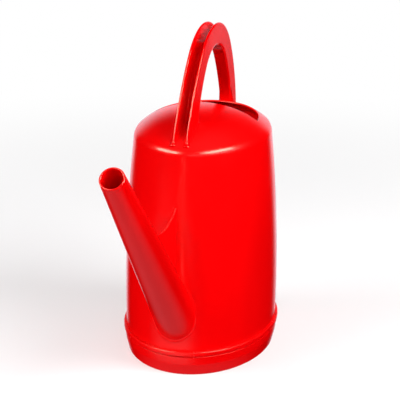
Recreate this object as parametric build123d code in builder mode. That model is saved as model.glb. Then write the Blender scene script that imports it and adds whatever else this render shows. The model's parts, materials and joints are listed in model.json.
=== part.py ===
from build123d import *
import math
import os

# Plastic watering can, millimetres. The origin is the centre of the underside of the base,
# +Z is up and the spout leans out towards +X. The can is the same on both sides of the XZ plane.
# The body and base are ovals: each body and base radius below is half the width, and the length is
# OVAL times the width.

# Body
OVAL = 1.30
BODY_FOOT_R = 96.4
BODY_MID_R = 95.3
SHOULDER_R = 85.8
BODY_FOOT_Z = 24.0
BODY_MID_Z = 163.0
SHOULDER_Z = 292.6
DOME_RISE = 29.0
DOME_CAP_R = 50.0
DOME_CAP_Z = 314.1
SHOULDER_ROUND = 14.0
WALL = 2.4

# Fill opening in the rear half of the dome, in plan: an oval whose front edge bows back
FILL_HALF_WIDTH = 69.0
FILL_REAR_X = -90.0
FILL_FRONT_X = -20.0
FILL_FRONT_CORNER_X = -5.0
FILL_CORNER_R = 18.0

# Base pan
BAND_R = 100.0
BAND_TOP_Z = 34.4
BAND_LOW_Z = 28.4
GROOVE_DEPTH = 1.6
GROOVE_HEIGHT = 1.4
SKIRT_TOP_R = 98.8
SKIRT_KNEE_R = 97.6
SKIRT_KNEE_Z = 16.0
SKIRT_FOOT_R = 93.9
PAN_WALL = 2.8
PAN_FLOOR = 3.0
LEDGE_DROP = 3.0
BAND_EDGE_R = 1.2
FOOT_TRIM = 1.0

# Spout
MOUTH = (343.0, 332.0)
SPOUT_LEAN = 48.1
SPOUT_LENGTH = 365.0
MOUTH_R = 14.6
SPOUT_TAPER = 0.038
SPOUT_WALL = 2.2
SOCKET_DEPTH = 22.0
COLLAR_HEIGHT = 1.0
COLLAR_MARGIN = 2.0

# Web and rib behind the spout
WEB_THICKNESS = 3.0
RIB_HEIGHT = 3.5
RIB_GAP = 4.0
WEB_JOIN = 150.0
WEB_TOP_Z = 230.0

# Bow handle: its feet narrow from the front one to the rear one, which runs out over the shoulder
FRONT_WIDTH = 20.0
REAR_WIDTH = 16.0
FLANGE = 2.6
HANDLE_FLOOR = 3.2
CROWN_X = -24.0
CROWN_Z = 338.5
CROWN_OUTER_R = 85.4
CROWN_INNER_R = 56.6
CROWN_FRONT_ANGLE = 47.0
CROWN_REAR_ANGLE = 56.0
FRONT_FOOT_OUTER_X = 108.5
FRONT_FOOT_INNER_X = 61.8
FRONT_FOOT_Z = 284.0
REAR_FOOT_OUTER_X = -129.0
REAR_FOOT_INNER_X = -111.5
REAR_FOOT_Z = 256.0
CHANNEL_CLEARANCE = 1.2

DOME_TOP_Z = SHOULDER_Z + DOME_RISE

os.makedirs("parts", exist_ok=True)


def barrel(inset):
    """The filled form of the body, drawn in by inset all round, from its foot to its dome."""
    oval = (OVAL * BODY_MID_R - inset) / (BODY_MID_R - inset)
    with BuildPart() as form:
        with BuildSketch(Plane.XZ):
            with BuildLine():
                cap = TangentArc((0, DOME_TOP_Z - inset), (DOME_CAP_R, DOME_CAP_Z - inset), tangent=(1, 0))
                dome = TangentArc(
                    cap @ 1, (SHOULDER_R - inset, SHOULDER_Z - inset), tangent=cap % 1
                )
                wall = ThreePointArc(
                    dome @ 1, (BODY_MID_R - inset, BODY_MID_Z), (BODY_FOOT_R - inset, BODY_FOOT_Z)
                )
                Polyline(wall @ 1, (0, BODY_FOOT_Z), cap @ 0)
            make_face()
        revolve(axis=Axis.Z)
        shoulder_z = SHOULDER_Z - inset
        fillet(form.edges().filter_by_position(Axis.Z, shoulder_z - 1, shoulder_z + 1), SHOULDER_ROUND)
        scale(by=(oval, 1, 1))
    return form.part


def spout_cone(wall, mouth_gap):
    """The spout's tapered form, thinned by wall, ending mouth_gap short of the mouth's centre."""
    with BuildPart() as form:
        with BuildSketch(SPOUT_ROOT):
            Circle(MOUTH_R + SPOUT_TAPER * SPOUT_LENGTH - wall)
        with BuildSketch(SPOUT_ROOT.offset(SPOUT_LENGTH - mouth_gap)):
            Circle(MOUTH_R + SPOUT_TAPER * mouth_gap - wall)
        loft()
    return form.part


def spout_passage():
    """What the water runs through: the tapered bore and the straight socket in the mouth."""
    with BuildPart() as form:
        add(spout_cone(SPOUT_WALL, SOCKET_DEPTH))
        with BuildSketch(SPOUT_ROOT.offset(SPOUT_LENGTH - SOCKET_DEPTH)):
            Circle(MOUTH_R - SPOUT_WALL)
        extrude(amount=SOCKET_DEPTH + MOUTH_R)
    return form.part


def spout_collar():
    """The low pad that the spout stands on, filled in to the middle of the body."""
    with BuildPart() as form:
        add(barrel(-COLLAR_HEIGHT))
        with BuildSketch(SPOUT_ROOT):
            Circle(MOUTH_R + SPOUT_TAPER * SPOUT_LENGTH + COLLAR_MARGIN)
        extrude(amount=SPOUT_LENGTH / 2, mode=Mode.INTERSECT)
    return form.part


# The spout's own plane: its origin lies on the spout's axis inside the body, its normal points out
# of the mouth.
lean = math.radians(SPOUT_LEAN)
spout_way = Vector(math.cos(lean), 0, math.sin(lean))
spout_back = Vector(-math.sin(lean), 0, math.cos(lean))
mouth_centre = Vector(MOUTH[0], 0, MOUTH[1])
SPOUT_ROOT = Plane(
    origin=mouth_centre - spout_way * SPOUT_LENGTH, x_dir=(0, 1, 0), z_dir=spout_way
)

body_outside = barrel(0)
body_inside = barrel(WALL)
spout_outside = spout_cone(0, 0)
spout_inside = spout_passage()
collar = spout_collar()


# Body: one moulding with a wall, a shoulder and a dome
with BuildPart() as body_shell:
    add(body_outside)
    add(body_inside, mode=Mode.SUBTRACT)
    with BuildSketch(Plane.XY.offset(SHOULDER_Z - SHOULDER_ROUND)) as fill_outline:
        Ellipse(-FILL_REAR_X, FILL_HALF_WIDTH)
        with BuildLine():
            front_edge = ThreePointArc(
                (FILL_FRONT_CORNER_X, -FILL_HALF_WIDTH),
                (FILL_FRONT_X, 0),
                (FILL_FRONT_CORNER_X, FILL_HALF_WIDTH),
            )
            Polyline(
                front_edge @ 1,
                (-FILL_REAR_X, FILL_HALF_WIDTH),
                (-FILL_REAR_X, -FILL_HALF_WIDTH),
                front_edge @ 0,
            )
        make_face(mode=Mode.SUBTRACT)
        fillet(fill_outline.vertices().group_by(Axis.X)[-1], FILL_CORNER_R)
    extrude(until=Until.LAST, mode=Mode.SUBTRACT)
    add(spout_inside, mode=Mode.SUBTRACT)
body_shell.part.label = "body_shell"
export_step(body_shell.part, "parts/body_shell.step")


# Base pan: flat floor, tapered skirt, groove and the band that the body stands in. The profile starts
# FOOT_TRIM below the ground and is cut off flat there.
with BuildPart() as base_pan:
    ledge_r = BODY_FOOT_R - WALL
    groove_z = BAND_LOW_Z - GROOVE_HEIGHT
    with BuildSketch(Plane.XZ):
        with BuildLine():
            Polyline(
                (0, -FOOT_TRIM),
                (SKIRT_FOOT_R, -FOOT_TRIM),
                (SKIRT_KNEE_R, SKIRT_KNEE_Z),
                (SKIRT_TOP_R, groove_z),
                (SKIRT_TOP_R - GROOVE_DEPTH, groove_z),
                (SKIRT_TOP_R - GROOVE_DEPTH, BAND_LOW_Z),
                (BAND_R, BAND_LOW_Z),
                (BAND_R, BAND_TOP_Z),
                (ledge_r, BAND_TOP_Z),
                (ledge_r, BODY_FOOT_Z - LEDGE_DROP / 2),
                (SKIRT_TOP_R - PAN_WALL, BODY_FOOT_Z - LEDGE_DROP),
                (SKIRT_KNEE_R - PAN_WALL, SKIRT_KNEE_Z),
                (SKIRT_FOOT_R - PAN_WALL, PAN_FLOOR),
                (0, PAN_FLOOR),
                close=True,
            )
        make_face()
    revolve(axis=Axis.Z)
    rings = base_pan.edges().filter_by(GeomType.CIRCLE)
    fillet(rings.filter_by(lambda edge: abs(edge.radius - BAND_R) < 0.01), BAND_EDGE_R)
    scale(by=(OVAL, 1, 1))
    split(bisect_by=Plane.XY)
    add(body_outside, mode=Mode.SUBTRACT)
base_pan.part.label = "base_pan"
export_step(base_pan.part, "parts/base_pan.step")


# Spout: tapered tube with a straight socket in its mouth and a collar where it meets the body
with BuildPart() as pouring_spout:
    add(collar)
    add(spout_outside)
    add(body_outside, mode=Mode.SUBTRACT)
    add(spout_inside, mode=Mode.SUBTRACT)
pouring_spout.part.label = "pouring_spout"
export_step(pouring_spout.part, "parts/pouring_spout.step")


# Web: thin plate between the back of the spout and the body, drawn out up the spout as a rib
with BuildPart() as spout_web:
    rib_start = mouth_centre - spout_way * RIB_GAP + spout_back * (MOUTH_R + RIB_HEIGHT)
    join_r = MOUTH_R + SPOUT_TAPER * WEB_JOIN + RIB_HEIGHT
    rib_end = mouth_centre - spout_way * WEB_JOIN + spout_back * join_r
    axis_start = mouth_centre - spout_way * RIB_GAP
    axis_end = mouth_centre - spout_way * SPOUT_LENGTH
    with BuildSketch(Plane.XZ):
        with BuildLine():
            Line((rib_start.X, rib_start.Z), (rib_end.X, rib_end.Z))
            top = TangentArc(
                (rib_end.X, rib_end.Z),
                (OVAL * SHOULDER_R, WEB_TOP_Z),
                tangent=(-spout_way.X, -spout_way.Z),
            )
            Polyline(
                top @ 1,
                (axis_end.X, axis_end.Z),
                (axis_start.X, axis_start.Z),
                (rib_start.X, rib_start.Z),
            )
        make_face()
    extrude(amount=WEB_THICKNESS / 2, both=True)
    add(body_outside, mode=Mode.SUBTRACT)
    add(spout_outside, mode=Mode.SUBTRACT)
    add(collar, mode=Mode.SUBTRACT)
spout_web.part.label = "spout_web"
export_step(spout_web.part, "parts/spout_web.step")


def bow_outline(crown_r, front_x, rear_x):
    """The bow's side outline at one depth: two legs tangent to a round crown, closed at the feet."""
    ahead = math.radians(CROWN_FRONT_ANGLE)
    behind = math.radians(CROWN_REAR_ANGLE)
    front = (CROWN_X + crown_r * math.sin(ahead), CROWN_Z + crown_r * math.cos(ahead))
    rear = (CROWN_X - crown_r * math.sin(behind), CROWN_Z + crown_r * math.cos(behind))
    with BuildLine() as outline:
        ThreePointArc(front, (CROWN_X, CROWN_Z + crown_r), rear)
        TangentArc(front, (front_x, FRONT_FOOT_Z), tangent=(math.cos(ahead), -math.sin(ahead)))
        TangentArc(rear, (rear_x, REAR_FOOT_Z), tangent=(-math.cos(behind), -math.sin(behind)))
        Line((front_x, FRONT_FOOT_Z), (rear_x, REAR_FOOT_Z))
    return outline.line


def handle_plan(inset):
    """The bow's outline from above, drawn in by inset on both sides, as a tall block."""
    reach = CROWN_OUTER_R * 2
    slope = (FRONT_WIDTH - REAR_WIDTH) / (FRONT_FOOT_OUTER_X - REAR_FOOT_OUTER_X)
    front_half = (FRONT_WIDTH + slope * (reach - FRONT_FOOT_OUTER_X)) / 2 - inset
    rear_half = (REAR_WIDTH - slope * (reach + REAR_FOOT_OUTER_X)) / 2 - inset
    with BuildPart() as block:
        with BuildSketch():
            Polygon(
                (reach, -front_half),
                (reach, front_half),
                (-reach, rear_half),
                (-reach, -rear_half),
                align=None,
            )
        extrude(amount=CROWN_Z + CROWN_OUTER_R * 2)
    return block.part


def handle_channel():
    """The channel's hollow, from its floor outwards past the flanges."""
    with BuildPart() as hollow:
        with BuildSketch(Plane.XZ):
            add(
                bow_outline(
                    CROWN_OUTER_R * CHANNEL_CLEARANCE,
                    FRONT_FOOT_OUTER_X * CHANNEL_CLEARANCE,
                    REAR_FOOT_OUTER_X * CHANNEL_CLEARANCE,
                )
            )
            make_face()
            add(
                bow_outline(
                    CROWN_INNER_R + HANDLE_FLOOR,
                    FRONT_FOOT_INNER_X + HANDLE_FLOOR,
                    REAR_FOOT_INNER_X - HANDLE_FLOOR,
                )
            )
            make_face(mode=Mode.SUBTRACT)
        extrude(amount=FRONT_WIDTH, both=True)
        add(handle_plan(FLANGE), mode=Mode.INTERSECT)
    return hollow.part


# Handle: bow with a channel section, open outwards, standing on the dome
handle_block = handle_plan(0)
channel = handle_channel()
with BuildPart() as bow_handle:
    with BuildSketch(Plane.XZ):
        add(bow_outline(CROWN_OUTER_R, FRONT_FOOT_OUTER_X, REAR_FOOT_OUTER_X))
        make_face()
        add(bow_outline(CROWN_INNER_R, FRONT_FOOT_INNER_X, REAR_FOOT_INNER_X))
        make_face(mode=Mode.SUBTRACT)
    extrude(amount=FRONT_WIDTH, both=True)
    add(handle_block, mode=Mode.INTERSECT)
    add(channel, mode=Mode.SUBTRACT)
    add(body_outside, mode=Mode.SUBTRACT)
bow_handle.part.label = "bow_handle"
export_step(bow_handle.part, "parts/bow_handle.step")
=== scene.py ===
"""Looks of the red plastic watering can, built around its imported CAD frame. Lengths are in metres."""

import json
import math

import bpy
import numpy as np
from mathutils import Matrix, Vector


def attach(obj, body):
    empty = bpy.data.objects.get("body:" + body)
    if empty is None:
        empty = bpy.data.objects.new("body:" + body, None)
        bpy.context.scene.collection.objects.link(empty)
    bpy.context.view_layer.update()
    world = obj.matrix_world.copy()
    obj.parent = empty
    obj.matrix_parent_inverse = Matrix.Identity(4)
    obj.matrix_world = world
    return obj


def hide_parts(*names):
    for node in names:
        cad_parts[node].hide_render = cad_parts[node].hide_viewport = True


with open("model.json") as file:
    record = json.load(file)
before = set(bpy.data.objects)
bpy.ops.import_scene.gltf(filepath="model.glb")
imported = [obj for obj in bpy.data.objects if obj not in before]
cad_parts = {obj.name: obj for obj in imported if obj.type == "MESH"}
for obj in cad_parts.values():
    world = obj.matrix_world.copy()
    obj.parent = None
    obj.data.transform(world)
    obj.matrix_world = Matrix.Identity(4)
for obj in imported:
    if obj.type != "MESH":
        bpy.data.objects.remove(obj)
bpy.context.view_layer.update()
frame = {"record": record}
mounts = {m["name"]: m for m in frame["record"]["mounts"]}

MM = 0.001

# Body: half widths, with the length OVAL times more
OVAL = 1.30
FOOT_R, MID_R, SHOULDER_R = 96.4 * MM, 95.3 * MM, 85.8 * MM
FOOT_Z, MID_Z, SHOULDER_Z = 24.0 * MM, 163.0 * MM, 292.6 * MM
DOME_RISE = 29.0 * MM
CAP_R, CAP_Z = 50.0 * MM, 314.1 * MM
SHOULDER_ROUND = 14.0 * MM
WALL = 2.4 * MM
DOME_R = 79.0 * MM
BODY_COLUMNS = 320
ARC_STEPS, SIDE_STEPS = 60, 240
UPPER_STEPS = 3 * ARC_STEPS

# Fill opening
FILL_HALF_WIDTH = 69.0 * MM
FILL_REAR_X = -90.0 * MM
FILL_FRONT_X = -20.0 * MM
FILL_CORNER_X = -5.0 * MM
FILL_CENTRE_X = -54.0 * MM
FILL_CORNER_POWER = 8.0

# Base pan
BAND_R, BAND_TOP, BAND_LOW = 99.98 * MM, 34.4 * MM, 28.4 * MM
GROOVE_DEPTH, GROOVE_LOW = 1.6 * MM, 27.0 * MM
SKIRT_TOP_R, KNEE_R, KNEE_Z, SKIRT_FOOT_R = 98.8 * MM, 97.6 * MM, 16.0 * MM, 93.9 * MM
PAN_WALL, PAN_FLOOR, LEDGE_Z = 2.8 * MM, 3.0 * MM, 21.0 * MM
SEAM, AXIS_GAP = 0.05 * MM, 0.001 * MM

# Spout
MOUTH = Vector(mounts["spout_socket"]["pos_m"])
SPOUT_WAY = Vector(mounts["spout_socket"]["axis"]).normalized()
SPOUT_BACK = Vector((-SPOUT_WAY.z, 0, SPOUT_WAY.x))
BORE_R = mounts["spout_socket"]["dims"]["r_mm"] * MM
SOCKET_DEPTH = mounts["spout_socket"]["dims"]["length_mm"] * MM
SPOUT_WALL = 2.2 * MM
MOUTH_R = BORE_R + SPOUT_WALL
TAPER = 0.038
SPOUT_REACH = 365.0 * MM
SPOUT_FILLET = 2.6 * MM
NEAR_MOUTH, NEAR_ROOT = 8 * MM, 16 * MM
LINE_DEPTH, LINE_PLACE, LINE_WIDTH = 0.28 * MM, 5.2 * MM, 0.55 * MM

# Web behind the spout
WEB_HALF = 1.5 * MM
RIB_HEIGHT, RIB_GAP = 3.5 * MM, 4.0 * MM
WEB_JOIN, WEB_TOP_Z = 150.0 * MM, 230.0 * MM
WEB_FILLET = 1.2 * MM

# Bow handle
FRONT_WIDTH, REAR_WIDTH = 20.0 * MM, 16.0 * MM
FLANGE, HANDLE_FLOOR = 2.6 * MM, 3.2 * MM
CROWN_X, CROWN_Z = -24.0 * MM, 338.5 * MM
CROWN_OUTER_R, CROWN_INNER_R = 85.38 * MM, 56.6 * MM
CROWN_FRONT, CROWN_REAR = math.radians(47.0), math.radians(56.0)
FRONT_FOOT = {"outer": (108.5 * MM, 284.0 * MM), "inner": (61.8 * MM, 284.0 * MM)}
REAR_FOOT = {"outer": (-129.0 * MM, 256.0 * MM), "inner": (-111.5 * MM, 256.0 * MM)}
HANDLE_FILLET = 3.2 * MM
BURIED = 1.0 * MM


# ---------------------------------------------------------------- curves and surfaces

def tangent_arc(start, tangent, end, count):
    """Points of the arc that leaves start along tangent and ends at end."""
    start, end = np.array(start, float), np.array(end, float)
    tangent = np.array(tangent, float) / np.hypot(*tangent)
    chord = end - start
    length = np.hypot(*chord)
    chord /= length
    half = math.asin(tangent[0] * chord[1] - tangent[1] * chord[0])
    radius = length / (2 * math.sin(half))
    turn = np.linspace(0, 2 * half, count)
    side = np.array([-tangent[1], tangent[0]])
    return start + radius * (np.sin(turn)[:, None] * tangent + (1 - np.cos(turn))[:, None] * side)


def circle_through(a, b, c):
    """Centre and radius of the circle through three points."""
    a, b, c = (np.array(p, float) for p in (a, b, c))
    centre = np.linalg.solve(2 * np.array([b - a, c - a]), [b @ b - a @ a, c @ c - a @ a])
    return centre, np.hypot(*(a - centre))


def sector(centre, radius, start, end, count):
    """Points on a circle between two angles."""
    turn = np.linspace(start, end, count)
    return centre + radius * np.stack([np.cos(turn), np.sin(turn)], 1)


def barrel_profile():
    """The body's outer half profile (r, z), from the dome's top to the foot."""
    top = np.array([0, SHOULDER_Z + DOME_RISE])
    rise = top[1] - CAP_Z
    cap_radius = (CAP_R ** 2 + rise ** 2) / (2 * rise)
    cap_turn = math.asin(CAP_R / cap_radius)
    cap_end = np.array([CAP_R, CAP_Z])
    inward = -np.array([math.sin(cap_turn), math.cos(cap_turn)])
    shoulder = np.array([SHOULDER_R, SHOULDER_Z])
    chord = shoulder - cap_end
    dome_radius = chord @ chord / (2 * chord @ inward)
    dome_centre = cap_end + dome_radius * inward
    wall_centre, wall_radius = circle_through(shoulder, (MID_R, MID_Z), (FOOT_R, FOOT_Z))
    reach = wall_centre - dome_centre
    gap = np.hypot(*reach)
    reach /= gap
    near, far = dome_radius - SHOULDER_ROUND, wall_radius - SHOULDER_ROUND
    along = (near ** 2 - far ** 2 + gap ** 2) / (2 * gap)
    across = math.sqrt(near ** 2 - along ** 2)
    fillet = dome_centre + along * reach + across * np.array([reach[1], -reach[0]])
    to_fillet = fillet - dome_centre
    dome_end = math.atan2(to_fillet[1], to_fillet[0])
    from_wall = fillet - wall_centre
    wall_start = math.atan2(from_wall[1], from_wall[0])
    foot = np.array([FOOT_R, FOOT_Z]) - wall_centre
    cap = sector(top - [0, cap_radius], cap_radius, math.pi / 2, math.pi / 2 - cap_turn, ARC_STEPS)
    dome = sector(dome_centre, dome_radius, math.pi / 2 - cap_turn, dome_end, ARC_STEPS)
    curl = sector(fillet, SHOULDER_ROUND, dome_end, wall_start, ARC_STEPS)
    foot_turn = math.atan2(foot[1], foot[0])
    side = sector(wall_centre, wall_radius, wall_start, foot_turn, SIDE_STEPS)
    return np.vstack([cap[:-1], dome[:-1], curl[:-1], side])


PROFILE = barrel_profile()
SLOPE = np.gradient(PROFILE, axis=0)
SLOPE /= np.hypot(*SLOPE.T)[:, None]
PROFILE_NORMAL = np.stack([-SLOPE[:, 1], SLOPE[:, 0]], 1)
WIDEST_CURL = int(np.argmax(PROFILE[:UPPER_STEPS, 0] > DOME_R)) + 1
DOME_END = WIDEST_CURL + 5


def barrel_normal(points, flat):
    """Outward unit normals of the oval barrel where its profile's normals are flat."""
    turn = np.arctan2(points[:, 1], points[:, 0] / OVAL)
    return np.stack([flat[:, 0] * np.cos(turn) / OVAL, flat[:, 0] * np.sin(turn), flat[:, 1]], 1)


def body_distance(points):
    """Signed distance of points from the body's outer surface and that surface's normals."""
    points = np.asarray(points, float)
    rho = np.hypot(points[:, 0] / OVAL, points[:, 1])
    distance = np.empty(len(points))
    flat = np.empty((len(points), 2))
    for start in range(0, len(points), 4000):
        rows = slice(start, start + 4000)
        place = np.stack([rho[rows], points[rows, 2]], 1)
        nearest = ((place[:, None] - PROFILE[None]) ** 2).sum(2).argmin(1)
        flat[rows] = PROFILE_NORMAL[nearest]
        distance[rows] = ((place - PROFILE[nearest]) * PROFILE_NORMAL[nearest]).sum(1)
    normal = barrel_normal(points, flat)
    stretch = np.linalg.norm(normal, axis=1)
    return distance / stretch, normal / stretch[:, None]


def spout_distance(points):
    """Signed distance of points from the spout's outer cone and its normals."""
    back = np.array(MOUTH)[None] - np.asarray(points, float)
    way = np.array(SPOUT_WAY)
    along = back @ way
    across = along[:, None] * way - back
    radius = np.linalg.norm(across, axis=1)
    lean = 1 / math.hypot(1, TAPER)
    normal = (across / np.maximum(radius, 1e-9)[:, None] + TAPER * way) * lean
    return (radius - MOUTH_R - TAPER * along) * lean, normal


def add_fillet(points, normals, distance, base_normals, size):
    """Flares a surface out to its base: within size of the base it follows a concave curve."""
    share = np.clip(1 - distance / size, 0, 1)
    out = size * share ** 2
    height = np.where(distance > 0, size * (1 - share) ** 2, distance)
    near = (distance < size)[:, None]
    moved = points + out[:, None] * normals + (height - distance)[:, None] * base_normals
    return np.where(near, moved, points)


def grid_normals(grid):
    """Unit normals of a grid of points whose second direction closes on itself."""
    along = np.gradient(grid, axis=0)
    around = np.roll(grid, -1, 1) - np.roll(grid, 1, 1)
    normal = np.cross(along, around)
    return normal / np.maximum(np.linalg.norm(normal, axis=2, keepdims=True), 1e-12)


# ---------------------------------------------------------------- meshes

def grid_faces(rows, columns, closed_rows=False):
    """Quads between the rows of a grid whose columns close on themselves."""
    faces = []
    for i in range(rows if closed_rows else rows - 1):
        for j in range(columns):
            a, b = i * columns + j, i * columns + (j + 1) % columns
            c, d = ((i + 1) % rows) * columns + (j + 1) % columns, ((i + 1) % rows) * columns + j
            faces.append((a, b, c, d))
    return faces


def make_piece(name, points, faces, material, node):
    """A smooth closed mesh that stands for one CAD node."""
    mesh = bpy.data.meshes.new(name)
    mesh.from_pydata(np.asarray(points).reshape(-1, 3).tolist(), [], faces)
    mesh.validate()
    piece = bpy.data.objects.new(name, mesh)
    bpy.context.scene.collection.objects.link(piece)
    bpy.context.view_layer.objects.active = piece
    piece.select_set(True)
    bpy.ops.object.mode_set(mode="EDIT")
    bpy.ops.mesh.select_all(action="SELECT")
    bpy.ops.mesh.normals_make_consistent(inside=False)
    bpy.ops.object.mode_set(mode="OBJECT")
    piece.select_set(False)
    mesh.polygons.foreach_set("use_smooth", [True] * len(mesh.polygons))
    mesh.materials.append(material)
    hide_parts(node)
    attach(piece, "root")
    return piece


def fill_outline(turn):
    """Distance from the opening's centre to its edge, in the direction turn, in plan."""
    cos, sin = np.cos(turn), np.sin(turn)
    a, b, x = -FILL_REAR_X, FILL_HALF_WIDTH, FILL_CENTRE_X
    qa = (cos / a) ** 2 + (sin / b) ** 2
    qb = 2 * x * cos / a ** 2
    qc = (x / a) ** 2 - 1
    oval = (-qb + np.sqrt(qb ** 2 - 4 * qa * qc)) / (2 * qa)
    sag = FILL_CORNER_X - FILL_FRONT_X
    bow_r = (b ** 2 + sag ** 2) / (2 * sag)
    away = FILL_FRONT_X + bow_r - x
    inside = (away * cos) ** 2 - away ** 2 + bow_r ** 2
    front = np.where(
        (inside > 0) & (cos > 0), away * cos - np.sqrt(np.maximum(inside, 0)), 10.0
    )
    return (oval ** -FILL_CORNER_POWER + front ** -FILL_CORNER_POWER) ** (-1 / FILL_CORNER_POWER)


def dome_points(plan):
    """Points of the dome above points in plan, with the dome's normals there."""
    rho = np.hypot(plan[:, 0] / OVAL, plan[:, 1])
    reach = PROFILE[:DOME_END, 0]
    z = np.interp(rho, reach, PROFILE[:DOME_END, 1])
    flat = np.stack([np.interp(rho, reach, PROFILE_NORMAL[:DOME_END, k]) for k in (0, 1)], 1)
    points = np.column_stack([plan, z])
    normal = barrel_normal(points, flat)
    return points, normal / np.linalg.norm(normal, axis=1)[:, None]


def build_body(material):
    """The body: dome with its rolled opening edge, shoulder and wall, inside and outside."""
    turn = np.linspace(0, 2 * math.pi, BODY_COLUMNS, endpoint=False)
    rim = DOME_R * np.stack([OVAL * np.cos(turn), np.sin(turn)], 1)
    centre = np.array([FILL_CENTRE_X, 0])
    ray = rim - centre
    length = np.hypot(*ray.T)
    ray /= length[:, None]
    edge = fill_outline(np.arctan2(ray[:, 1], ray[:, 0]))
    half = WALL / 2
    share = np.linspace(0, 1, 40) ** 1.7
    outer, normals = [], []
    for s in share:
        reach = edge + half + s * (length - edge - half)
        p, n = dome_points(centre + ray * reach[:, None])
        outer.append(p)
        normals.append(n)
    steps = list(range(WIDEST_CURL, UPPER_STEPS, 3)) + list(range(UPPER_STEPS, len(PROFILE), 4))
    steps.append(len(PROFILE) - 1)
    tail, tail_n = PROFILE[steps], PROFILE_NORMAL[steps]
    for (r, z), flat in zip(tail, tail_n):
        p = np.column_stack([OVAL * r * np.cos(turn), r * np.sin(turn), np.full(len(turn), z)])
        n = barrel_normal(p, np.tile(flat, (len(turn), 1)))
        outer.append(p)
        normals.append(n / np.linalg.norm(n, axis=1)[:, None])
    outer, normals = np.array(outer), np.array(normals)
    inner = outer - WALL * normals
    inner[..., 2] = np.maximum(inner[..., 2], FOOT_Z)
    middle = outer[0] - half * normals[0]
    away = np.column_stack([ray, np.zeros(len(ray))])
    lip = []
    for bend in np.radians(np.arange(-75, 90, 15)):
        lip.append(middle - half * math.cos(bend) * away + half * math.sin(bend) * normals[0])
    rows = np.concatenate([inner[::-1], np.array(lip), outer])
    faces = grid_faces(len(rows), BODY_COLUMNS, closed_rows=True)
    piece = make_piece("body_skin", rows, faces, material, "body_shell")
    cut_spout_hole(piece)
    return piece


def cut_spout_hole(piece):
    """Opens the body's wall behind the spout."""
    bpy.ops.mesh.primitive_cone_add(
        vertices=96,
        radius1=BORE_R + TAPER * SPOUT_REACH,
        radius2=BORE_R + TAPER * SPOUT_REACH / 2,
        depth=SPOUT_REACH / 2,
    )
    cutter = bpy.context.object
    turn = Vector((0, 0, 1)).rotation_difference(SPOUT_WAY).to_matrix().to_4x4()
    cutter.matrix_world = Matrix.Translation(MOUTH - SPOUT_WAY * SPOUT_REACH * 0.75) @ turn
    hole = piece.modifiers.new("spout_hole", "BOOLEAN")
    hole.object = cutter
    hole.operation = "DIFFERENCE"
    hole.solver = "EXACT"
    bpy.context.view_layer.objects.active = piece
    bpy.ops.object.modifier_apply(modifier=hole.name)
    bpy.data.objects.remove(cutter)


def rounded_profile(corners, radii, segments=6):
    """A closed outline with each corner rounded to its radius."""
    corners = np.array(corners, float)
    points = []
    for i, (corner, radius) in enumerate(zip(corners, radii)):
        before, after = corners[i - 1] - corner, corners[(i + 1) % len(corners)] - corner
        before_length, after_length = np.hypot(*before), np.hypot(*after)
        before, after = before / before_length, after / after_length
        if radius <= 0:
            points.append(corner)
            continue
        half = math.acos(np.clip(before @ after, -1, 1)) / 2
        reach = min(radius / math.tan(half), 0.45 * before_length, 0.45 * after_length)
        radius = reach * math.tan(half)
        centre = corner + (before + after) / np.hypot(*(before + after)) * radius / math.sin(half)
        first, last = corner + before * reach - centre, corner + after * reach - centre
        start = math.atan2(first[1], first[0])
        sweep = (math.atan2(last[1], last[0]) - start + math.pi) % (2 * math.pi) - math.pi
        points.extend(sector(centre, radius, start, start + sweep, segments))
    return np.array(points)


def build_base(material):
    """The base pan: flat bottom, skirt, groove and the band round the body's foot."""
    corners = [
        (AXIS_GAP, 0), (SKIRT_FOOT_R, 0), (KNEE_R, KNEE_Z), (SKIRT_TOP_R, GROOVE_LOW),
        (SKIRT_TOP_R - GROOVE_DEPTH, GROOVE_LOW), (SKIRT_TOP_R - GROOVE_DEPTH, BAND_LOW),
        (BAND_R, BAND_LOW), (BAND_R, BAND_TOP), (FOOT_R + SEAM, BAND_TOP),
        (FOOT_R + SEAM, FOOT_Z), (FOOT_R - WALL, FOOT_Z), (FOOT_R - WALL, LEDGE_Z + 1.5 * MM),
        (SKIRT_TOP_R - PAN_WALL, LEDGE_Z), (KNEE_R - PAN_WALL, KNEE_Z),
        (SKIRT_FOOT_R - PAN_WALL, PAN_FLOOR), (AXIS_GAP, PAN_FLOOR),
    ]
    radii = [0, 2.2, 9, 0.7, 0.3, 0.3, 0.9, 1.3, 0.5, 0, 0, 0.5, 1, 6, 2, 0]
    outline = rounded_profile(corners, [r * MM for r in radii])
    turn = np.linspace(0, 2 * math.pi, BODY_COLUMNS, endpoint=False)
    rows = [
        np.column_stack([OVAL * r * np.cos(turn), r * np.sin(turn), np.full(len(turn), z)])
        for r, z in outline
    ]
    return make_piece(
        "base_pan_skin", rows, grid_faces(len(rows), BODY_COLUMNS, closed_rows=True), material, "base_pan"
    )


def spout_point(depth, radius, turn):
    """Point at depth behind the mouth, at radius from the spout's axis, turned round it."""
    side = np.cos(turn)[..., None] * np.array([0, 1, 0]) + np.sin(turn)[..., None] * np.array(SPOUT_BACK)
    return np.array(MOUTH) - depth[..., None] * np.array(SPOUT_WAY) + radius[..., None] * side


def depth_at_body(turn, radius_of, level):
    """How far behind the mouth each line along the spout comes to level above the body."""
    low, high = np.full(len(turn), 0.1), np.full(len(turn), SPOUT_REACH + 40 * MM)
    for _ in range(30):
        middle = (low + high) / 2
        distance, _ = body_distance(spout_point(middle, radius_of(middle), turn))
        low, high = np.where(distance > level, middle, low), np.where(distance > level, high, middle)
    return (low + high) / 2


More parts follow.
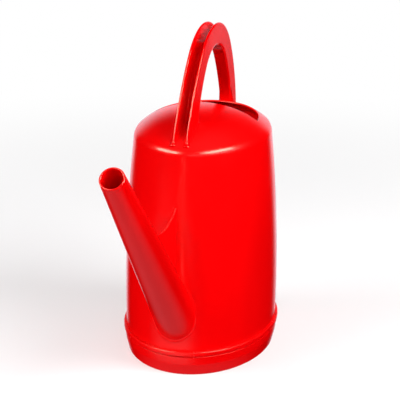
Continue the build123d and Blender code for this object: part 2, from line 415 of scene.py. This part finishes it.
def build_spout(material):
    """The spout: tapered tube with a rolled lip, a fine line below it and a flared root."""
    turn = np.linspace(0, 2 * math.pi, 160, endpoint=False)

    def outside(depth):
        line = LINE_DEPTH * np.exp(-((depth - LINE_PLACE) / LINE_WIDTH) ** 2)
        return MOUTH_R + TAPER * depth - line

    def inside(depth):
        return np.where(depth < SOCKET_DEPTH, BORE_R, BORE_R + TAPER * depth)

    half = SPOUT_WALL / 2
    reach = depth_at_body(turn, lambda d: MOUTH_R + TAPER * d, 0.0)
    near_mouth = np.linspace(half, NEAR_MOUTH, 30)
    rows = [spout_point(np.full(len(turn), d), np.full(len(turn), outside(d)), turn) for d in near_mouth]
    for share in np.linspace(0, 1, 60)[1:] ** 0.9:
        depth = NEAR_MOUTH + share * (reach - NEAR_MOUTH - NEAR_ROOT)
        rows.append(spout_point(depth, outside(depth), turn))
    for share in np.linspace(0, 1, 24)[1:]:
        depth = reach - NEAR_ROOT * (1 - share)
        rows.append(spout_point(depth, outside(depth), turn))
    rows = np.array(rows)
    normals = grid_normals(rows)
    away = rows - spout_point(np.full(rows.shape[:2], 0.1), np.zeros(rows.shape[:2]), turn[None])
    normals *= np.sign((normals * away).sum(2, keepdims=True))
    distance, base = body_distance(rows.reshape(-1, 3))
    flared = add_fillet(rows.reshape(-1, 3), normals.reshape(-1, 3), distance, base, SPOUT_FILLET)
    flared = flared.reshape(rows.shape)
    _, foot = body_distance(flared[-1])
    skirt = flared[-1] - BURIED * foot
    bore_reach = depth_at_body(turn, lambda d: BORE_R + TAPER * d, -WALL / 2)
    bore = [spout_point(bore_reach, inside(bore_reach), turn)]
    for share in np.linspace(1, 0, 30)[1:-1]:
        depth = SOCKET_DEPTH + share * (bore_reach - SOCKET_DEPTH)
        bore.append(spout_point(depth, BORE_R + TAPER * depth, turn))
    for depth in (SOCKET_DEPTH + 0.3 * MM, SOCKET_DEPTH, 12 * MM, 4 * MM):
        bore.append(spout_point(np.full(len(turn), depth), np.full(len(turn), float(inside(depth))), turn))
    lip = []
    for bend in np.radians(np.arange(0, 181, 20)):
        depth = half - half * math.sin(bend)
        radius = BORE_R + half - half * math.cos(bend)
        lip.append(spout_point(np.full(len(turn), depth), np.full(len(turn), radius), turn))
    grid = np.concatenate([flared, [skirt], np.array(bore), np.array(lip)])
    faces = grid_faces(len(grid), len(turn), closed_rows=True)
    return make_piece("spout_skin", grid, faces, material, "pouring_spout")


def build_web(material):
    """The web: thin plate with a rounded free edge, flared on to the spout and the body."""
    way = np.array([SPOUT_WAY.x, SPOUT_WAY.z])
    back = np.array([SPOUT_BACK.x, SPOUT_BACK.z])
    mouth = np.array([MOUTH.x, MOUTH.z])

    def over_spout(depth, height):
        return mouth - depth[:, None] * way + (MOUTH_R + TAPER * depth + height)[:, None] * back

    rib = np.linspace(RIB_GAP, WEB_JOIN, 130)
    rib_height = RIB_HEIGHT * np.clip((rib - RIB_GAP) / (6 * MM) + 0.15, 0, 1) ** 0.5
    edge_rib = over_spout(rib, rib_height)
    top = np.array([OVAL * SHOULDER_R, WEB_TOP_Z])
    heading = -way
    edge_arc = tangent_arc(edge_rib[-1], heading, top, 170)[1:]
    body_x = np.array([body_distance(np.array([[x, 0, z]]))[0][0] for x, z in edge_arc])
    edge_arc = edge_arc[body_x > -BURIED]
    corner_depth = float(depth_at_body(np.array([math.pi / 2]), lambda d: MOUTH_R + TAPER * d, 0.0)[0])
    count = len(edge_arc)
    split = int(count * 0.55)
    depth = np.linspace(WEB_JOIN, corner_depth, split)
    base_spout = over_spout(depth, np.full(split, -BURIED))
    corner = base_spout[-1]
    z = np.linspace(corner[1], edge_arc[-1][1], count - split)
    wall_r = np.interp(z, PROFILE[::-1, 1], PROFILE[::-1, 0])
    base_wall = np.column_stack([OVAL * wall_r - BURIED, z])
    edge = np.vstack([edge_rib, edge_arc])
    base = np.vstack([over_spout(rib, np.full(len(rib), -BURIED)), base_spout, base_wall])
    fall = base - edge
    drop = np.maximum(np.hypot(*fall.T), 1e-6)
    fall /= drop[:, None]
    bends = np.radians(np.linspace(0, 90, 6))
    steps = 34
    half_rows, half_sides = [], []
    for bend in bends:
        depth_in = np.minimum(WEB_HALF * (1 - math.cos(bend)), drop * 0.3)
        half_rows.append(edge + fall * depth_in[:, None])
        half_sides.append(math.sin(bend))
    start = np.minimum(WEB_HALF, drop * 0.3)
    for s in np.linspace(0, 1, steps)[1:]:
        half_rows.append(edge + fall * (start + s * (drop - start))[:, None])
        half_sides.append(1.0)
    columns = []
    for side in (1, -1):
        for plane, share in zip(half_rows, half_sides):
            width = np.full(len(edge), side * share * WEB_HALF)
            points = np.column_stack([plane[:, 0], width, plane[:, 1]])
            to_body, body_n = body_distance(points)
            to_spout, spout_n = spout_distance(points)
            nearer = (to_spout < to_body)[:, None]
            normal = np.tile([0.0, side, 0.0], (len(points), 1)) * share
            distance = np.minimum(to_body, to_spout)
            columns.append(
                add_fillet(points, normal, distance, np.where(nearer, spout_n, body_n), WEB_FILLET)
            )
    half = len(half_rows)
    loop = columns[half - 1:0:-1] + columns[:1] + columns[half + 1:]
    grid = np.array(loop).transpose(1, 0, 2)
    rows, width = grid.shape[:2]
    faces = grid_faces(rows, width)
    faces.append(tuple(range(width)))
    faces.append(tuple(range((rows - 1) * width, rows * width)))
    return make_piece("web_skin", grid, faces, material, "spout_web")


def bow_curve(side, crown_r, leg, crown):
    """The bow's side line at one depth, from the rear foot to the front one."""
    front_x, front_z = FRONT_FOOT[side]
    rear_x, rear_z = REAR_FOOT[side]
    centre = np.array([CROWN_X, CROWN_Z])
    arch = sector(centre, crown_r, math.pi / 2 + CROWN_REAR, math.pi / 2 - CROWN_FRONT, crown)
    front = tangent_arc(arch[-1], (math.cos(CROWN_FRONT), -math.sin(CROWN_FRONT)), (front_x, front_z), leg)
    rear = tangent_arc(arch[0], (-math.cos(CROWN_REAR), -math.sin(CROWN_REAR)), (rear_x, rear_z), leg)
    return np.vstack([rear[::-1], arch[1:-1], front])


def channel_section(half, depth):
    """The handle's channel section (across, out), with rounded edges and fixed point count."""
    rim, floor = FLANGE, HANDLE_FLOOR
    corners = [
        (-half, 0), (half, 0), (half, depth), (half - rim, depth),
        (half - rim, floor), (rim - half, floor), (rim - half, depth), (-half, depth),
    ]
    radii = [2.4, 2.4, 1.2, 1.2, 2.2, 2.2, 1.2, 1.2]
    outline = rounded_profile(corners, [r * MM for r in radii])
    per_corner = 6
    points = []
    spans = (6, 14, 0, 12, 6, 12, 0, 14)
    for i, extra in enumerate(spans):
        block = outline[i * per_corner:(i + 1) * per_corner]
        following = outline[(i + 1) * per_corner % len(outline)]
        points.extend(block)
        for s in np.linspace(0, 1, extra + 2)[1:-1]:
            points.append(block[-1] + s * (following - block[-1]))
    return np.array(points)


def build_handle(material):
    """The bow handle: rounded channel whose feet flare into the dome."""
    inner = bow_curve("inner", CROWN_INNER_R, 170, 160)
    outer = bow_curve("outer", CROWN_OUTER_R, 170, 160)
    across = (FRONT_WIDTH - REAR_WIDTH) / (FRONT_FOOT["outer"][0] - REAR_FOOT["outer"][0])
    stations = []
    for low, high in zip(inner, outer):
        out = high - low
        depth = np.hypot(*out)
        out /= depth
        middle = (low[0] + high[0]) / 2
        half = (REAR_WIDTH + across * (middle - REAR_FOOT["outer"][0])) / 2
        section = channel_section(half, depth)
        place = low + section[:, 1:2] * out
        stations.append(np.column_stack([place[:, 0], section[:, 0], place[:, 1]]))
    stations = np.array(stations)
    count, width = stations.shape[:2]
    distance, _ = body_distance(stations.reshape(-1, 3))
    distance = distance.reshape(count, width)
    shares = np.concatenate([
        np.linspace(0, 0.12, 44)[:-1], np.linspace(0.12, 0.88, 150)[:-1], np.linspace(0.88, 1, 44),
    ])
    grid = np.empty((len(shares), width, 3))
    steps = np.arange(count)
    crest = count // 2
    for j in range(width):
        line = distance[:, j]
        buried = np.flatnonzero(line[:crest] < -BURIED)
        first = buried[-1] if len(buried) else 0
        if len(buried):
            first += (-BURIED - line[first]) / (line[first + 1] - line[first])
        sunk = np.flatnonzero(line[crest:] < -BURIED)
        last = crest + sunk[0] if len(sunk) else count - 1
        if len(sunk):
            last -= (-BURIED - line[last]) / (line[last - 1] - line[last])
        place = first + shares * (last - first)
        for k in range(3):
            grid[:, j, k] = np.interp(place, steps, stations[:, j, k])
    normals = grid_normals(grid)
    centre = grid.mean(1, keepdims=True)
    lower = (grid[:, 2] - centre[:, 0]) * normals[:, 2]
    if lower.sum() < 0:
        normals = -normals
    distance, base = body_distance(grid.reshape(-1, 3))
    grid = add_fillet(grid.reshape(-1, 3), normals.reshape(-1, 3), distance, base, HANDLE_FILLET)
    grid = grid.reshape(len(shares), width, 3)
    faces = grid_faces(len(shares), width)
    faces.append(tuple(range(width)))
    faces.append(tuple(range((len(shares) - 1) * width, len(shares) * width)))
    return make_piece("handle_skin", grid, faces, material, "bow_handle")


# ---------------------------------------------------------------- material

def moulded_plastic(name, colour, roughness, grain, scuff):
    """Dyed polythene as it leaves the mould: fine grain, faint flow, dull patches and light scuffs."""
    material = bpy.data.materials.new(name)
    material.use_nodes = True
    tree = material.node_tree
    nodes, links = tree.nodes, tree.links
    shader = nodes["Principled BSDF"]
    place = nodes.new("ShaderNodeTexCoord").outputs["Object"]

    def noise(scale, detail, stretch=(1, 1, 1)):
        mapping = nodes.new("ShaderNodeMapping")
        mapping.inputs["Scale"].default_value = stretch
        texture = nodes.new("ShaderNodeTexNoise")
        texture.inputs["Scale"].default_value = scale
        texture.inputs["Detail"].default_value = detail
        links.new(place, mapping.inputs["Vector"])
        links.new(mapping.outputs["Vector"], texture.inputs["Vector"])
        return texture.outputs["Fac"]

    def spread(value, low, high, to_low, to_high):
        ramp = nodes.new("ShaderNodeMapRange")
        ramp.inputs["From Min"].default_value = low
        ramp.inputs["From Max"].default_value = high
        ramp.inputs["To Min"].default_value = to_low
        ramp.inputs["To Max"].default_value = to_high
        links.new(value, ramp.inputs["Value"])
        return ramp.outputs["Result"]

    tone = nodes.new("ShaderNodeMix")
    tone.data_type = "RGBA"
    tone.inputs["A"].default_value = (*colour, 1)
    tone.inputs["B"].default_value = (colour[0] * 0.86, colour[1] * 0.8, colour[2] * 0.8, 1)
    links.new(spread(noise(9, 3, (1, 1, 0.35)), 0.35, 0.75, 0, 1), tone.inputs["Factor"])
    links.new(tone.outputs["Result"], shader.inputs["Base Color"])

    dull = nodes.new("ShaderNodeMath")
    dull.operation = "ADD"
    links.new(spread(noise(14, 4), 0.3, 0.7, roughness - 0.03, roughness + 0.04), dull.inputs[0])
    links.new(spread(noise(120, 5, (1, 1, 0.12)), 0.58, 0.72, 0, scuff), dull.inputs[1])
    links.new(dull.outputs["Value"], shader.inputs["Roughness"])

    skin = nodes.new("ShaderNodeBump")
    skin.inputs["Strength"].default_value = grain
    skin.inputs["Distance"].default_value = 0.0002
    links.new(noise(900, 2), skin.inputs["Height"])
    flow = nodes.new("ShaderNodeBump")
    flow.inputs["Strength"].default_value = 0.25
    flow.inputs["Distance"].default_value = 0.0006
    links.new(noise(22, 2, (1, 1, 0.5)), flow.inputs["Height"])
    links.new(skin.outputs["Normal"], flow.inputs["Normal"])
    links.new(flow.outputs["Normal"], shader.inputs["Normal"])
    shader.inputs["IOR"].default_value = 1.5
    shader.inputs["Specular IOR Level"].default_value = 0.5
    return material


RED = (0.86, 0.0004, 0.0012)
body_plastic = moulded_plastic("red_plastic_body", RED, 0.20, 0.08, 0.02)
base_plastic = moulded_plastic("red_plastic_base", RED, 0.23, 0.12, 0.02)
spout_plastic = moulded_plastic("red_plastic_spout", RED, 0.21, 0.10, 0.03)
handle_plastic = moulded_plastic("red_plastic_handle", RED, 0.12, 0.10, 0.03)

build_body(body_plastic)
build_base(base_plastic)
build_spout(spout_plastic)
build_web(spout_plastic)
build_handle(handle_plastic)


# ---------------------------------------------------------------- floor, light and camera

def make_floor():
    """A wide pale floor that fades to plain white away from the can. It is there for the camera alone:
    the can's gloss doesn't show it, it throws no light on the can and it doesn't shade the lamp below."""
    size = FLOOR_HALF_SIZE
    mesh = bpy.data.meshes.new("floor")
    corners = [(-size, -size, 0), (size, -size, 0), (size, size, 0), (-size, size, 0)]
    mesh.from_pydata(corners, [], [(0, 1, 2, 3)])
    floor = bpy.data.objects.new("floor", mesh)
    bpy.context.scene.collection.objects.link(floor)
    paint = bpy.data.materials.new("floor_white")
    paint.use_nodes = True
    nodes, links = paint.node_tree.nodes, paint.node_tree.links
    shader = nodes["Principled BSDF"]
    shader.inputs["Base Color"].default_value = (*FLOOR_TONE, 1)
    shader.inputs["Roughness"].default_value = 0.9
    shader.inputs["Specular IOR Level"].default_value = 0.0
    place = nodes.new("ShaderNodeTexCoord")
    away = nodes.new("ShaderNodeVectorMath")
    away.operation = "LENGTH"
    links.new(place.outputs["Object"], away.inputs[0])
    fade = nodes.new("ShaderNodeMapRange")
    fade.interpolation_type = "SMOOTHSTEP"
    fade.inputs["From Min"].default_value = FADE_START
    fade.inputs["From Max"].default_value = FADE_END
    fade.inputs["To Min"].default_value = FLOOR_GLOW
    fade.inputs["To Max"].default_value = 1.0
    links.new(away.outputs["Value"], fade.inputs["Value"])
    glow = nodes.new("ShaderNodeEmission")
    glow.inputs["Color"].default_value = (1, 1, 1, 1)
    mix = nodes.new("ShaderNodeMixShader")
    links.new(fade.outputs["Result"], mix.inputs["Fac"])
    links.new(shader.outputs["BSDF"], mix.inputs[1])
    links.new(glow.outputs["Emission"], mix.inputs[2])
    links.new(mix.outputs["Shader"], nodes["Material Output"].inputs["Surface"])
    mesh.materials.append(paint)
    floor.visible_glossy = False
    floor.visible_diffuse = False
    floor.visible_shadow = False


def softbox(name, azimuth, elevation, distance, width, height, power, glossy):
    """A rectangular light facing the can from azimuth (from +X towards +Y) and elevation, for the
    highlights alone if glossy and for the plain shading alone if not."""
    light = bpy.data.lights.new(name, "AREA")
    light.shape = "RECTANGLE"
    light.size, light.size_y = width, height
    light.energy = power
    light.color = LAMP_WARM if glossy else (1, 1, 1)
    lamp = bpy.data.objects.new(name, light)
    a, e = math.radians(azimuth), math.radians(elevation)
    way = Vector((math.cos(a) * math.cos(e), math.sin(a) * math.cos(e), math.sin(e)))
    lamp.location = Vector((0, 0, AIM_HEIGHT)) + way * distance
    lamp.rotation_euler = way.to_track_quat("Z", "Y").to_euler()
    lamp.visible_glossy = glossy
    lamp.visible_diffuse = not glossy
    lamp.visible_camera = False
    bpy.context.scene.collection.objects.link(lamp)
    return lamp


def smooth_range(nodes, links, value, start, end, at_start, at_end):
    """A smooth step of a value between two limits."""
    step = nodes.new("ShaderNodeMapRange")
    step.interpolation_type = "SMOOTHSTEP"
    step.inputs["From Min"].default_value = start
    step.inputs["From Max"].default_value = end
    step.inputs["To Min"].default_value = at_start
    step.inputs["To Max"].default_value = at_end
    links.new(value, step.inputs["Value"])
    return step.outputs["Result"]


def combine(nodes, links, operation, first, second):
    """Two values put together by a math node."""
    node = nodes.new("ShaderNodeMath")
    node.operation = operation
    links.new(first, node.inputs[0])
    links.new(second, node.inputs[1])
    return node.outputs["Value"]


def make_world():
    """A white backdrop whose gloss is a white sweep low behind the can and a dim glow below it."""
    world = bpy.data.worlds.new("studio")
    bpy.context.scene.world = world
    world.use_nodes = True
    nodes, links = world.node_tree.nodes, world.node_tree.links
    nodes.clear()
    way = nodes.new("ShaderNodeTexCoord").outputs["Generated"]
    front = nodes.new("ShaderNodeVectorMath")
    front.operation = "DOT_PRODUCT"
    front.inputs[1].default_value = TOWARDS_CAMERA
    links.new(way, front.inputs[0])
    split = nodes.new("ShaderNodeSeparateXYZ")
    links.new(way, split.inputs[0])
    height = split.outputs["Z"]
    behind = smooth_range(nodes, links, front.outputs["Value"], -0.81, -0.89, 0.0, SWEEP_LIGHT)
    low = smooth_range(nodes, links, height, 0.45, 0.1, 0.0, 1.0)
    sweep = combine(nodes, links, "MULTIPLY", behind, low)
    under = smooth_range(nodes, links, height, -0.6, -0.95, 0.0, UNDER_LIGHT)
    seen = combine(nodes, links, "MAXIMUM", sweep, under)
    gloss = nodes.new("ShaderNodeBackground")
    gloss.inputs["Color"].default_value = (1.0, 0.9, 1.0, 1)
    links.new(seen, gloss.inputs["Strength"])
    backdrop = nodes.new("ShaderNodeBackground")
    backdrop.inputs["Color"].default_value = (1, 1, 1, 1)
    path = nodes.new("ShaderNodeLightPath")
    shown = nodes.new("ShaderNodeMixShader")
    links.new(path.outputs["Is Camera Ray"], shown.inputs["Fac"])
    links.new(gloss.outputs["Background"], shown.inputs[1])
    links.new(backdrop.outputs["Background"], shown.inputs[2])
    out = nodes.new("ShaderNodeOutputWorld")
    links.new(shown.outputs["Shader"], out.inputs["Surface"])


LAMP_WARM = (1.0, 0.82, 0.62)
AIM_HEIGHT = 0.2
FLOOR_TONE = (0.93, 0.915, 0.92)
FLOOR_GLOW = 0.40
FLOOR_HALF_SIZE = 30.0
FADE_START, FADE_END = 0.35, 1.3
SWEEP_LIGHT = 1.1
UNDER_LIGHT = 0.26
TOWARDS_CAMERA = (0.959, 0.283, 0.0)
CARD_PLACE = (-0.424, 0.14, 0.375)
CAMERA_PLACE = (1.74558, 0.51560, 0.82994)
CAMERA_RIGHT = (-0.28752, 0.95773, 0.00923)
CAMERA_BACK = (0.90504, 0.26852, 0.32985)
LENS, SENSOR, SHIFT = 132.84, 36.0, -0.0025

make_floor()
make_world()
softbox("gloss_left", -43, 38, 1.5, 1.15, 0.50, 30, True)
softbox("gloss_right", 68, 45, 1.5, 1.15, 0.50, 36, True)
softbox("key_left", -54, 34, 2.0, 1.4, 1.2, 34, False)
softbox("key_right", 76, 34, 2.0, 1.4, 1.2, 56, False)
softbox("key_low", 26, 22, 2.0, 1.4, 0.6, 9, False)
softbox("key_under", -20, -30, 1.2, 1.4, 0.8, 9, False)
softbox("key_above", 196, 80, 2.0, 2.0, 2.0, 7, False)
# A small card behind the can, for the highlight on the top of the handle alone
card = softbox("card", 0, 0, 1.0, 0.16, 0.20, 0.19, True)
card.location = CARD_PLACE
card.rotation_euler = (math.radians(90), 0, math.radians(90))
card.data.color = (1, 1, 1)

camera_data = bpy.data.cameras.new("camera")
camera_data.lens = LENS
camera_data.sensor_width = SENSOR
camera_data.shift_x = SHIFT
camera_data.clip_end = 100
camera = bpy.data.objects.new("camera", camera_data)
camera.location = CAMERA_PLACE
view_right = Vector(CAMERA_RIGHT)
view_back = Vector(CAMERA_BACK)
view_up = view_back.cross(view_right).normalized()
view_right = view_up.cross(view_back).normalized()
turn = Matrix((view_right, view_up, view_back.normalized())).transposed()
camera.rotation_euler = turn.to_euler()
bpy.context.scene.collection.objects.link(camera)
bpy.context.scene.camera = camera
bpy.context.scene.view_settings.view_transform = "Standard"
